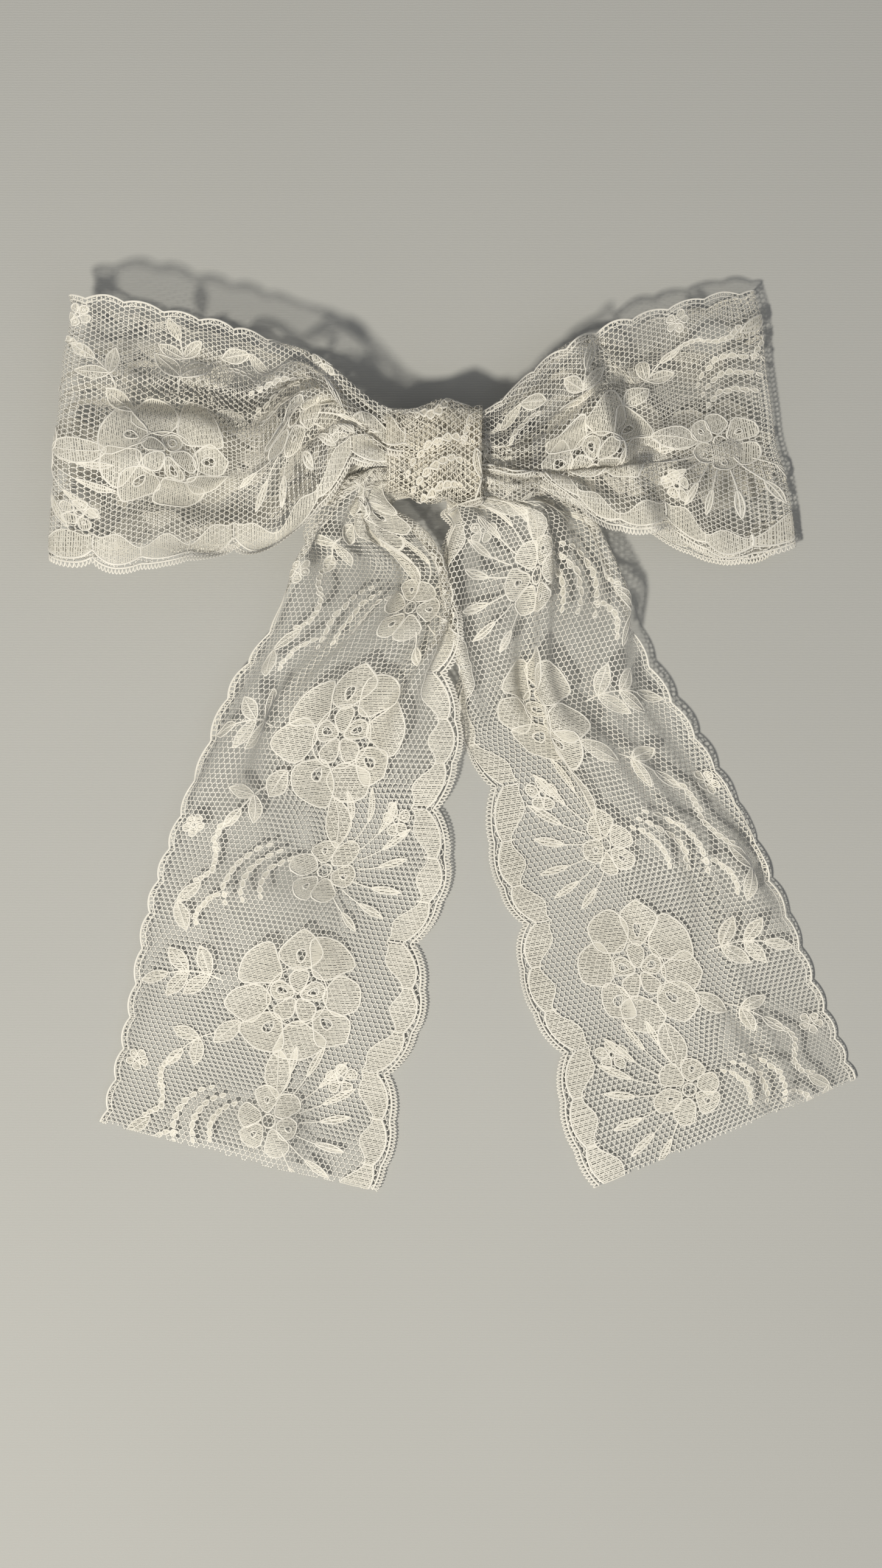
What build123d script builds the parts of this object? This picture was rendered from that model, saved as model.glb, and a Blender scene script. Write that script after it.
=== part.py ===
"""Lace hair bow on a French barrette, lying on its back.

Millimetres. +Z points out of the surface that the bow lies on, +Y towards the top of the
loops, +X to the right. The origin is on the flat back of the clasp arm, under the knot.
"""
from build123d import *
import os

os.makedirs("parts", exist_ok=True)

# ---- lace ----------------------------------------------------------------------------
LACE = 1.2                  # thickness allowed for a ply of lace with its raised cords
NECK_SOLID = 6.0            # the plies are gathered together this far out from the knot
NECK_X = (-12.9, 12.3)      # where the loops meet the waist
NECK_Z = (13.0, 19.6)
LOOP_HIGH = 40.0            # taller than any loop, to cut its outline through
LOOP_ACROSS = 60.0          # further than either edge of a loop, to cut its side view through

KNOT_X = (-12.8, 12.2)      # the knot's left and right sides
KNOT_Y = (-11.0, 10.5)
KNOT_Z = (7.9, 21.5)
KNOT_PLY = 0.8
KNOT_CORNER = 5.0
KNOT_MID = ((KNOT_Y[0] + KNOT_Y[1]) / 2, (KNOT_Z[0] + KNOT_Z[1]) / 2)
KNOT_DEEP = KNOT_Y[1] - KNOT_Y[0]
KNOT_HIGH = KNOT_Z[1] - KNOT_Z[0]
STITCH = (3.0, 0.5)         # length and width of a stitch that closes the wrap behind
STITCH_DEPTH = 0.3
STITCH_PITCH = 4.5
STITCH_SLANT = 70.0

WAIST_END = (13.6, 6.0)     # section of the gathered waist where it meets the loops
WAIST_END_AT = (2.0, 16.6)
WAIST_MID = (11.0, 4.6)     # and at its middle, under the thread
WAIST_MID_AT = (-0.2, 16.8)
WAIST_CORNER = 2.0
THREAD = 0.6
THREAD_X = (-0.9, 0.0, 0.9)
THREAD_OUTSIDE = (13.0, 6.4, 2.8)
THREAD_INSIDE = (11.8, 5.2, 2.2)

LEFT_FOLD_TOP = (-92.5, 39.5)
LEFT_FOLD_BOTTOM = (-98.0, -28.0)
RIGHT_FOLD_TOP = (82.0, 41.5)
RIGHT_FOLD_BOTTOM = (94.5, -25.5)
SCALLOP_FINE = 1.2          # depth of the small scallops on the loops' top edges
SCALLOP_BOLD = 4.0          # depth of the large scallops on the bottom and inner edges

SWING_Y = -36.4             # the line about which the tails lift
SWING_Z = 6.3
TAIL_PLY = 1.0
TAIL_START = SWING_Y - 0.6
NECK_END = SWING_Y + 0.8
TAIL_FLAT_Y = -105.0        # from here down the tails lie on the surface
TAIL_PAST_END = -200.0      # beyond the cut ends
TAIL_HIGH = 20.0
TAIL_ACROSS = 120.0
STRAND_Z = 11.5             # the fold between the two tails, over the barrette
STRAND = (27.0, 4.4, 1.0)
STRAND_AT = (-0.2, -7.1)

# ---- barrette ------------------------------------------------------------------------
SHEET = 0.7                 # thickness of the base plate
PLATE_HALF = 30.5           # half length of the base plate
PLATE_WIDTH = 9.0
ARCH_HALF = 24.0            # the plate is arched between its two flat ends
ARCH_TOP = 10.5             # underside of the plate at its middle
FLAT_END = 5.1              # underside of the plate at its ends

EAR_Y = (3.4, 4.1)          # inner and outer face of each hinge ear
PIN_X = -28.0
PIN_Z = 1.5
PIN_R = 0.6
LUG_X = -25.8               # pivot of the tension bar
LUG_Z = 4.0
LUG_R = 0.5
RUNNING = 0.05              # radial clearance of the turning fits
SEATED = 0.02               # radial clearance of the pins and rivets that don't turn
PIN_HEAD = 0.3
PIN_HEAD_LIP = 0.35         # how far a pin's head stands out past the pin

ARM_WIDTH = 6.0
ARM = 0.9                   # thickness of the clasp arm
EYE_R = 1.3
ARM_STEP_X = (21.0, 23.5)   # the arm steps up here to make room for the catch
ARM_END_X = 31.0
ARM_END_WIDTH = 8.8
ARM_END_Z = 1.3
WINDOW_X = (24.8, 29.6)
WINDOW_HALF = 2.75

BAR = 0.35                  # thickness of the tension bar
BAR_WIDTH = 5.0
BAR_MID_Z = 6.4
BAR_TIP = (22.8, 3.4)

BRACKET_X = (24.5, 30.0)
BRACKET_HALF = 3.2
BRACKET = 0.6
BRACKET_EAR_Z = 3.2
BRACKET_TOP = FLAT_END
BRACKET_MID_X = (BRACKET_X[0] + BRACKET_X[1]) / 2
BRACKET_LONG = BRACKET_X[1] - BRACKET_X[0]
TAB_Y = 2.4                 # pivot of each release tab, out from the middle
TAB_Z = 3.9
TAB_R = 0.4
TAB_END_GAP = 0.1           # between a tab's rod and the ends of the bracket
LEG_X = (25.6, 29.0)        # the leg that reaches down through the arm's window
LEG_Y = (2.15, 2.55)
LEG_FOOT_Z = 0.5
BARB_Y = (2.3, WINDOW_HALF - 0.05)
BARB_Z = (1.0, 1.2)         # widest part of the barb, and where it meets the leg again
WING_X = (26.2, 28.4)       # the wing out to the finger pad
WING_START_Y = 2.3
WING_Z = (2.9, 3.4)
PAD_Y = (5.6, 6.1)
PAD_LOW_Z = 0.9
RIVET_X = (26.3, 28.2)
RIVET_R = 0.6
RIVET_HEAD_R = 0.9
RIVET_HEAD = 0.45


def save(builder, node):
    """Label a finished piece and write it to its own file."""
    builder.part.label = node
    export_step(builder.part, "parts/" + node + ".step")


def scallops(start, end, count, depth):
    """A row of arcs from start to end, each standing out to the right of the way it runs."""
    first = Vector(*start)
    step = (Vector(*end) - first) * (1 / count)
    out = Vector(step.Y, -step.X, 0).normalized() * depth
    for i in range(count):
        here = first + step * i
        ThreePointArc(here, here + step * 0.5 + out, here + step)


def loop_side_views(front, back, fold, neck_x):
    """Side views of a loop in the XZ plane: its outside, and the hollow between its plies."""
    with BuildSketch(Plane.XZ) as outside:
        with BuildLine():
            Line((neck_x, NECK_Z[0]), (neck_x, NECK_Z[1]))
            Spline((neck_x, NECK_Z[1]), *front)
            ThreePointArc(front[-1], fold, back[0])
            Spline(*back, (neck_x, NECK_Z[0]))
        make_face()
    away = 1.0 if fold[0] > 0 else -1.0
    tip = (neck_x + away * NECK_SOLID, (NECK_Z[0] + NECK_Z[1]) / 2)
    ceiling = [(x, z - LACE) for x, z in front]
    floor = [(x, z + LACE) for x, z in back]
    with BuildSketch(Plane.XZ) as hollow:
        with BuildLine():
            Spline(tip, *ceiling)
            ThreePointArc(ceiling[-1], (fold[0] - away * LACE, fold[1]), floor[0])
            Spline(*floor, tip)
        make_face()
    return outside.sketch, hollow.sketch


def tail_side_view():
    """Side view of a tail in the YZ plane: down from the swing line, then flat on the surface."""
    top = SWING_Z + TAIL_PLY / 2
    with BuildSketch(Plane.YZ) as side_view:
        with BuildLine():
            Polyline(
                (TAIL_START, top),
                (TAIL_FLAT_Y, TAIL_PLY),
                (TAIL_PAST_END, TAIL_PLY),
                (TAIL_PAST_END, 0.0),
                (TAIL_FLAT_Y, 0.0),
                (TAIL_START, top - TAIL_PLY),
                (TAIL_START, top),
            )
        make_face()
    return side_view.sketch


# ---- loops: one strip of lace folded into two loops and gathered at the waist ----------
left_outside, left_hollow = loop_side_views(
    front=[(-40.0, 21.5), (-66.0, 23.6), (-90.0, 22.6)],
    back=[(-90.0, 9.4), (-60.0, 8.6), (-34.0, 10.2)],
    fold=(-97.4, 16.0),
    neck_x=NECK_X[0],
)
right_outside, right_hollow = loop_side_views(
    front=[(38.0, 18.6), (62.0, 13.8), (88.4, 9.4)],
    back=[(88.4, 1.4), (60.0, 3.0), (34.0, 9.2)],
    fold=(92.6, 5.4),
    neck_x=NECK_X[1],
)

with BuildPart() as loop_left:
    with BuildSketch(Plane.XY):
        with BuildLine():
            Polyline((-12.0, 9.0), (-23.0, 18.0), (-40.0, 28.0))
            scallops((-40.0, 28.0), LEFT_FOLD_TOP, 5, SCALLOP_FINE)
            Line(LEFT_FOLD_TOP, LEFT_FOLD_BOTTOM)
            scallops(LEFT_FOLD_BOTTOM, (-66.0, -30.0), 1, SCALLOP_BOLD + 1.5)
            scallops((-66.0, -30.0), (-41.0, -28.0), 1, SCALLOP_BOLD - 1.5)
            Polyline((-41.0, -28.0), (-31.3, -21.0), (-12.0, -3.6), (-12.0, 9.0))
        make_face()
    extrude(amount=LOOP_HIGH)
    extrude(left_outside, amount=LOOP_ACROSS, both=True, mode=Mode.INTERSECT)
    extrude(left_hollow, amount=LOOP_ACROSS, both=True, mode=Mode.SUBTRACT)
save(loop_left, "loop_left")

with BuildPart() as loop_right:
    with BuildSketch(Plane.XY):
        with BuildLine():
            Polyline((11.5, 10.0), (26.0, 22.0), (42.0, 31.0))
            scallops((42.0, 31.0), RIGHT_FOLD_TOP, 4, -SCALLOP_FINE)
            Line(RIGHT_FOLD_TOP, RIGHT_FOLD_BOTTOM)
            scallops(RIGHT_FOLD_BOTTOM, (66.0, -25.5), 1, -SCALLOP_BOLD)
            scallops((66.0, -25.5), (44.0, -21.5), 1, -SCALLOP_BOLD + 2.0)
            Polyline((44.0, -21.5), (30.0, -12.0), (11.5, -5.2), (11.5, 10.0))
        make_face()
    extrude(amount=LOOP_HIGH)
    extrude(right_outside, amount=LOOP_ACROSS, both=True, mode=Mode.INTERSECT)
    extrude(right_hollow, amount=LOOP_ACROSS, both=True, mode=Mode.SUBTRACT)
save(loop_right, "loop_right")

with BuildPart() as loop_waist:
    with BuildSketch(Plane.YZ.offset(NECK_X[0])):
        with Locations(WAIST_END_AT):
            RectangleRounded(*WAIST_END, WAIST_CORNER)
    with BuildSketch(Plane.YZ):
        with Locations(WAIST_MID_AT):
            RectangleRounded(*WAIST_MID, WAIST_CORNER)
    with BuildSketch(Plane.YZ.offset(NECK_X[1])):
        with Locations(WAIST_END_AT):
            RectangleRounded(*WAIST_END, WAIST_CORNER)
    loft(ruled=True)
save(loop_waist, "loop_waist")

with BuildPart() as gather_thread:
    for x in THREAD_X:
        with BuildSketch(Plane.YZ.offset(x - THREAD / 2)):
            with Locations(WAIST_MID_AT):
                RectangleRounded(*THREAD_OUTSIDE)
                RectangleRounded(*THREAD_INSIDE, mode=Mode.SUBTRACT)
        extrude(amount=THREAD)
save(gather_thread, "gather_thread")

# ---- tails: a second strip folded under the waist, its two ends hanging as tails -------
with BuildPart() as tail_fold:
    with BuildSketch(Plane.XY):
        with BuildLine():
            Polyline(
                (-13.1, -4.8),
                (-21.0, -12.1),
                (-30.5, -21.6),
                (-37.5, NECK_END),
                (4.5, NECK_END),
                (0.0, -29.0),
                (-6.0, -19.0),
                (-9.0, -12.6),
                (-13.1, -11.6),
                (-13.1, -4.8),
            )
        make_face()
        with BuildLine():
            Polyline(
                (12.6, -6.0),
                (30.0, -12.8),
                (38.5, -19.0),
                (45.4, NECK_END),
                (9.0, NECK_END),
                (6.0, -30.0),
                (1.5, -24.0),
                (2.0, -16.0),
                (6.0, -12.6),
                (12.6, -11.6),
                (12.6, -6.0),
            )
        make_face()
    extrude(amount=TAIL_HIGH)
    with BuildSketch(Plane.YZ):
        with BuildLine():
            Polyline(
                (-4.0, 12.7),
                (-12.0, 12.4),
                (NECK_END, SWING_Z + 0.6),
                (NECK_END, 0.0),
                (-27.0, 0.0),
                (-14.0, 9.6),
                (-4.0, 11.4),
                (-4.0, 12.7),
            )
        make_face()
    extrude(amount=TAIL_ACROSS, both=True, mode=Mode.INTERSECT)
    with BuildSketch(Plane.XY.offset(STRAND_Z)):
        with Locations(STRAND_AT):
            Rectangle(STRAND[0], STRAND[1])
    extrude(amount=STRAND[2])
save(tail_fold, "tail_fold")

side_view = tail_side_view()

with BuildPart() as tail_left:
    with BuildSketch(Plane.XY):
        with BuildLine():
            Polyline(
                (6.0, TAIL_START),
                (-38.2, TAIL_START),
                (-52.0, -58.0),
                (-61.0, -82.0),
                (-72.0, -112.0),
                (-78.0, -142.0),
                (-84.5, -168.0),
                (-48.0, -177.5),
                (-14.0, -186.0),
            )
            scallops((-14.0, -186.0), (-12.0, -155.0), 1, SCALLOP_BOLD)
            scallops((-12.0, -155.0), (-5.5, -121.0), 1, SCALLOP_BOLD)
            scallops((-5.5, -121.0), (0.0, -88.0), 1, SCALLOP_BOLD)
            scallops((0.0, -88.0), (5.0, -55.0), 1, SCALLOP_BOLD)
            Line((5.0, -55.0), (6.0, TAIL_START))
        make_face()
    extrude(amount=TAIL_HIGH)
    extrude(side_view, amount=TAIL_ACROSS, both=True, mode=Mode.INTERSECT)
save(tail_left, "tail_left")

with BuildPart() as tail_right:
    with BuildSketch(Plane.XY):
        with BuildLine():
            Polyline((10.0, -60.0), (9.0, TAIL_START), (46.0, TAIL_START), (64.0, -68.0))
            Polyline(
                (64.0, -68.0),
                (83.0, -103.0),
                (96.0, -132.0),
                (105.5, -157.0),
                (80.0, -168.5),
                (38.0, -186.0),
            )
            scallops((38.0, -186.0), (37.0, -160.0), 1, -SCALLOP_BOLD)
            scallops((37.0, -160.0), (27.0, -126.0), 1, -SCALLOP_BOLD)
            scallops((27.0, -126.0), (20.0, -94.0), 1, -SCALLOP_BOLD)
            Line((20.0, -94.0), (10.0, -60.0))
        make_face()
    extrude(amount=TAIL_HIGH)
    extrude(side_view, amount=TAIL_ACROSS, both=True, mode=Mode.INTERSECT)
save(tail_right, "tail_right")

# ---- knot: a short strip wrapped round the waist and the barrette's plate --------------
with BuildPart() as knot_wrap:
    with BuildSketch(Plane.YZ.offset(KNOT_X[0])):
        with Locations(KNOT_MID):
            RectangleRounded(KNOT_DEEP, KNOT_HIGH, KNOT_CORNER)
            RectangleRounded(
                KNOT_DEEP - 2 * KNOT_PLY,
                KNOT_HIGH - 2 * KNOT_PLY,
                KNOT_CORNER - KNOT_PLY,
                mode=Mode.SUBTRACT,
            )
    extrude(amount=KNOT_X[1] - KNOT_X[0])
save(knot_wrap, "knot_wrap")

with BuildPart() as wrap_stitches:
    with BuildSketch(Plane.XY.offset(KNOT_Z[0] - STITCH_DEPTH)):
        with GridLocations(STITCH_PITCH, 0.0, 5, 1):
            SlotOverall(*STITCH, rotation=STITCH_SLANT)
    extrude(amount=STITCH_DEPTH)
save(wrap_stitches, "wrap_stitches")

# ---- French barrette -------------------------------------------------------------------
with BuildPart() as base_plate:
    with BuildSketch(Plane.XZ):
        with BuildLine():
            Line((-PLATE_HALF, FLAT_END), (-ARCH_HALF, FLAT_END))
            ThreePointArc((-ARCH_HALF, FLAT_END), (0.0, ARCH_TOP), (ARCH_HALF, FLAT_END))
            Line((ARCH_HALF, FLAT_END), (PLATE_HALF, FLAT_END))
            Line((PLATE_HALF, FLAT_END), (PLATE_HALF, FLAT_END + SHEET))
            Line((PLATE_HALF, FLAT_END + SHEET), (ARCH_HALF, FLAT_END + SHEET))
            ThreePointArc(
                (ARCH_HALF, FLAT_END + SHEET),
                (0.0, ARCH_TOP + SHEET),
                (-ARCH_HALF, FLAT_END + SHEET),
            )
            Line((-ARCH_HALF, FLAT_END + SHEET), (-PLATE_HALF, FLAT_END + SHEET))
            Line((-PLATE_HALF, FLAT_END + SHEET), (-PLATE_HALF, FLAT_END))
        make_face()
    extrude(amount=PLATE_WIDTH / 2, both=True)
    for side in (EAR_Y[0], -EAR_Y[1]):
        with BuildSketch(Plane.XZ.offset(-side)):
            with BuildLine():
                Polyline(
                    (PIN_X - 2.0, FLAT_END),
                    (LUG_X + 1.4, FLAT_END),
                    (LUG_X + 1.4, LUG_Z - 1.0),
                    (PIN_X + 1.6, 0.3),
                    (PIN_X - 1.4, 0.3),
                    (PIN_X - 2.0, PIN_Z - 0.3),
                    (PIN_X - 2.0, FLAT_END),
                )
            make_face()
        extrude(amount=EAR_Y[0] - EAR_Y[1])
    with BuildSketch(Plane.XZ):
        with Locations((PIN_X, PIN_Z)):
            Circle(PIN_R + SEATED)
        with Locations((LUG_X, LUG_Z)):
            Circle(LUG_R + RUNNING)
    extrude(amount=PLATE_WIDTH, both=True, mode=Mode.SUBTRACT)
    with BuildSketch(Plane.XY.offset(FLAT_END)):
        with Locations(*[(x, 0.0) for x in RIVET_X]):
            Circle(RIVET_R + SEATED)
    extrude(amount=SHEET, mode=Mode.SUBTRACT)
save(base_plate, "base_plate")

with BuildPart() as hinge_pin:
    with BuildSketch(Plane.XZ):
        with Locations((PIN_X, PIN_Z)):
            Circle(PIN_R)
    extrude(amount=EAR_Y[1] + RUNNING + PIN_HEAD, both=True)
    for end in (EAR_Y[1] + RUNNING, -EAR_Y[1] - RUNNING - PIN_HEAD):
        with BuildSketch(Plane.XZ.offset(-end)):
            with Locations((PIN_X, PIN_Z)):
                Circle(PIN_R + PIN_HEAD_LIP)
        extrude(amount=-PIN_HEAD)
save(hinge_pin, "hinge_pin")

with BuildPart() as clasp_arm:
    with BuildSketch(Plane.XZ):
        with BuildLine():
            Polyline(
                (PIN_X, 0.0),
                (ARM_STEP_X[0], 0.0),
                (ARM_STEP_X[1], ARM_END_Z),
                (ARM_STEP_X[1], ARM_END_Z + ARM),
                (ARM_STEP_X[0] - 0.5, ARM),
                (PIN_X, ARM),
                (PIN_X, 0.0),
            )
        make_face()
        with Locations((PIN_X, PIN_Z)):
            Circle(EYE_R)
    extrude(amount=ARM_WIDTH / 2, both=True)
    with BuildSketch(Plane.XY.offset(ARM_END_Z)):
        with BuildLine():
            Polyline(
                (ARM_STEP_X[1], -ARM_WIDTH / 2),
                (ARM_STEP_X[1] + 1.0, -ARM_END_WIDTH / 2),
                (ARM_END_X - 1.0, -ARM_END_WIDTH / 2),
            )
            ThreePointArc(
                (ARM_END_X - 1.0, -ARM_END_WIDTH / 2),
                (ARM_END_X, 0.0),
                (ARM_END_X - 1.0, ARM_END_WIDTH / 2),
            )
            Polyline(
                (ARM_END_X - 1.0, ARM_END_WIDTH / 2),
                (ARM_STEP_X[1] + 1.0, ARM_END_WIDTH / 2),
                (ARM_STEP_X[1], ARM_WIDTH / 2),
                (ARM_STEP_X[1], -ARM_WIDTH / 2),
            )
        make_face()
        with Locations(((WINDOW_X[0] + WINDOW_X[1]) / 2, 0.0)):
            Rectangle(WINDOW_X[1] - WINDOW_X[0], 2 * WINDOW_HALF, mode=Mode.SUBTRACT)
    extrude(amount=ARM)
    with BuildSketch(Plane.XZ):
        with Locations((PIN_X, PIN_Z)):
            Circle(PIN_R + RUNNING)
    extrude(amount=ARM_WIDTH, both=True, mode=Mode.SUBTRACT)
save(clasp_arm, "clasp_arm")

with BuildPart() as tension_bar:
    with BuildSketch(Plane.XZ):
        with BuildLine():
            ThreePointArc((LUG_X, LUG_Z), (0.0, BAR_MID_Z), BAR_TIP)
            Line(BAR_TIP, (BAR_TIP[0], BAR_TIP[1] + BAR))
            ThreePointArc(
                (BAR_TIP[0], BAR_TIP[1] + BAR),
                (0.0, BAR_MID_Z + BAR),
                (LUG_X, LUG_Z + BAR),
            )
            Line((LUG_X, LUG_Z + BAR), (LUG_X, LUG_Z))
        make_face()
    extrude(amount=BAR_WIDTH / 2, both=True)
    with BuildSketch(Plane.XZ):
        with Locations((LUG_X, LUG_Z)):
            Circle(LUG_R)
    extrude(amount=EAR_Y[1], both=True)
save(tension_bar, "tension_bar")

with BuildPart() as catch_bracket:
    with BuildSketch(Plane.XY.offset(BRACKET_TOP - BRACKET)):
        with Locations((BRACKET_MID_X, 0.0)):
            Rectangle(BRACKET_LONG, 2 * BRACKET_HALF)
    extrude(amount=BRACKET)
    with BuildSketch(Plane.XY.offset(BRACKET_EAR_Z)):
        with Locations((BRACKET_MID_X, 0.0)):
            Rectangle(BRACKET_LONG, 2 * BRACKET_HALF)
            Rectangle(BRACKET_LONG - 2 * BRACKET, 2 * BRACKET_HALF, mode=Mode.SUBTRACT)
    extrude(until=Until.NEXT)
    with BuildSketch(Plane.YZ.offset(BRACKET_X[0])):
        with Locations((TAB_Y, TAB_Z), (-TAB_Y, TAB_Z)):
            Circle(TAB_R + RUNNING)
    extrude(amount=BRACKET_LONG, mode=Mode.SUBTRACT)
    with BuildSketch(Plane.XY.offset(BRACKET_TOP - BRACKET)):
        with Locations(*[(x, 0.0) for x in RIVET_X]):
            Circle(RIVET_R + SEATED)
    extrude(amount=BRACKET, mode=Mode.SUBTRACT)
save(catch_bracket, "catch_bracket")

with BuildPart() as catch_rivets:
    with BuildSketch(Plane.XY.offset(BRACKET_TOP - BRACKET - RIVET_HEAD)):
        with Locations(*[(x, 0.0) for x in RIVET_X]):
            Circle(RIVET_R)
    extrude(amount=BRACKET + SHEET + 2 * RIVET_HEAD)
    for z in (BRACKET_TOP - BRACKET - RIVET_HEAD, BRACKET_TOP + SHEET):
        with BuildSketch(Plane.XY.offset(z)):
            with Locations(*[(x, 0.0) for x in RIVET_X]):
                Circle(RIVET_HEAD_R)
        extrude(amount=RIVET_HEAD)
save(catch_rivets, "catch_rivets")


def release_tab(side):
    """A spring tab of the catch: pivot rod, leg and barb in the window, wing and finger pad."""
    with BuildPart() as tab:
        with BuildSketch(Plane.YZ.offset(BRACKET_X[0] + TAB_END_GAP)):
            with Locations((side * TAB_Y, TAB_Z)):
                Circle(TAB_R)
        extrude(amount=BRACKET_LONG - 2 * TAB_END_GAP)
        with BuildSketch(Plane.YZ.offset(LEG_X[0])):
            with BuildLine():
                Polyline(
                    (side * LEG_Y[0], TAB_Z),
                    (side * LEG_Y[0], LEG_FOOT_Z),
                    (side * BARB_Y[0], LEG_FOOT_Z),
                    (side * BARB_Y[1], BARB_Z[0]),
                    (side * LEG_Y[1], BARB_Z[1]),
                    (side * LEG_Y[1], TAB_Z),
                    (side * LEG_Y[0], TAB_Z),
                )
            make_face()
        extrude(amount=LEG_X[1] - LEG_X[0])
        with BuildSketch(Plane.YZ.offset(WING_X[0])):
            with BuildLine():
                Polyline(
                    (side * WING_START_Y, WING_Z[1]),
                    (side * WING_START_Y, WING_Z[0]),
                    (side * PAD_Y[0], WING_Z[0]),
                    (side * PAD_Y[0], PAD_LOW_Z),
                    (side * PAD_Y[1], PAD_LOW_Z),
                    (side * PAD_Y[1], WING_Z[1]),
                    (side * WING_START_Y, WING_Z[1]),
                )
            make_face()
        extrude(amount=WING_X[1] - WING_X[0])
    return tab


for side, node in ((-1, "release_tab_front"), (1, "release_tab_back")):
    save(release_tab(side), node)
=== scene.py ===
"""Looks of the lace hair bow, around its CAD frame.

The lace is real geometry. Each strip is drawn flat, in millimetres, as (along, across, height):
a hexagonal net, hatched flowers and leaves, raised cords, and a scalloped border with picots.
A strip's points are then carried onto a surface that is gathered, folded and draped.
"""
import math

import bpy
import numpy as np
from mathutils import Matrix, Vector


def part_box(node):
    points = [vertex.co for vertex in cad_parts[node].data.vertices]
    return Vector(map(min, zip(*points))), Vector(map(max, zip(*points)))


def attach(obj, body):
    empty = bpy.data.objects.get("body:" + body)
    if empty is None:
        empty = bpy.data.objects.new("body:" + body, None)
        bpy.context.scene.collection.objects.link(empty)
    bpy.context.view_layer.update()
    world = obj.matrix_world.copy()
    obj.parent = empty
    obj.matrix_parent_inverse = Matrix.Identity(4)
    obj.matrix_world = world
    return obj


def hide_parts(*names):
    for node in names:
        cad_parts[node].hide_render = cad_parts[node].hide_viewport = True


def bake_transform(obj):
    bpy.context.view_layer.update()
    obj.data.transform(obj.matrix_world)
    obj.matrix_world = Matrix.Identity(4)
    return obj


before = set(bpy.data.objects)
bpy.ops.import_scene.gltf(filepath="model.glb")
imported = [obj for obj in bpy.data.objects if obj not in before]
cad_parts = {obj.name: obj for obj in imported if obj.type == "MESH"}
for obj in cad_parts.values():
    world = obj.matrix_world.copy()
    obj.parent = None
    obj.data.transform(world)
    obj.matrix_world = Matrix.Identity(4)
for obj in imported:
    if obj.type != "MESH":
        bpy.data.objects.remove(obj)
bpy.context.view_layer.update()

MM = 0.001
UP = (0.0, 0.0, 1.0)
DOWN = (0.0, 0.0, -1.0)

# ---- the trim ------------------------------------------------------------------------
WIDTH = 76.0            # from the fine edge to the tips of the bold scallops
NET = 1.4               # across the flats of a net cell
NET_THREAD = 0.26
REPEAT = 66.0           # the pattern starts again after this length
BOLD_PITCH = REPEAT / 2
BOLD_DEPTH = 5.0
LOBE_PITCH = BOLD_PITCH / 3
LOBE_DEPTH = 1.8
BRAID = 1.5             # width of the looped braid that finishes the bold edge
BRAID_PITCH = 0.8
LOBE_INSET = 2.5        # from the tips of the braid to the solid lobes
MEDALLION = 61.3        # where the lobes' inner outline starts, across the trim
MEDALLION_DEPTH = 7.0
MEDALLION_WAVE = 1.5
FINE_PITCH = REPEAT / 7
FINE_DEPTH = 1.3
FINE_MARGIN = 0.3       # from the strip's side to the tops of the fine scallops
FINE_BAND = 1.3         # width of the hatching inside the fine edge
HATCH_PITCH = 0.42
HATCH_THREAD = 0.25
HATCH_SHORTEST = 0.25   # shorter threads are left out
HATCH_STEP = 1.7        # longest straight piece of a hatching thread
HATCH_WOBBLE = 0.06
NET_WOBBLE = 0.07
CORD_WIDTH = 0.42
CORD_HEIGHT = 0.24

# which material a face takes
NET_KIND, FILL_KIND, CORD_KIND = range(3)


class Flat:
    """Lace laid out flat. Points are (along, across, height) in mm."""

    def __init__(self, seed):
        self.points = []
        self.faces = []
        self.kinds = []
        self.count = 0
        self.random = np.random.default_rng(seed)

    def add(self, points, faces, kind):
        points = np.asarray(points, float).reshape(-1, 3)
        self.points.append(points)
        self.faces.extend((np.asarray(faces, int) + self.count).tolist())
        self.kinds.extend([kind] * len(faces))
        self.count += len(points)

    def area(self):
        """Area of the threads, in square metres, laid flat."""
        p = np.concatenate(self.points)
        total = 0.0
        for size in (3, 4):
            faces = np.array([f for f in self.faces if len(f) == size], int)
            if not len(faces):
                continue
            for i in range(1, size - 1):
                a = p[faces[:, i]] - p[faces[:, 0]]
                b = p[faces[:, i + 1]] - p[faces[:, 0]]
                total += np.linalg.norm(np.cross(a, b), axis=1).sum() / 2
        return total * MM * MM


def arch(u):
    """A row of rounded arches, one per unit, from 0 at their feet to 1 at their tops."""
    return np.abs(np.sin(np.pi * u)) ** 0.75


def bold_edge(along):
    big = BOLD_DEPTH * (1 - arch(along / BOLD_PITCH))
    return WIDTH - big - 0.4 * LOBE_DEPTH * (1 - arch(along / LOBE_PITCH))


def lobe_edge(along):
    big = BOLD_DEPTH * (1 - arch(along / BOLD_PITCH))
    return WIDTH - LOBE_INSET - big - LOBE_DEPTH * (1 - arch(along / LOBE_PITCH))


def medallion_edge(along):
    wave = MEDALLION_WAVE * np.cos(2 * np.pi * along / LOBE_PITCH)
    return MEDALLION + MEDALLION_DEPTH * arch(along / BOLD_PITCH) + wave


def fine_edge(along):
    return FINE_MARGIN + FINE_DEPTH * (1 - arch(along / FINE_PITCH))


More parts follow.
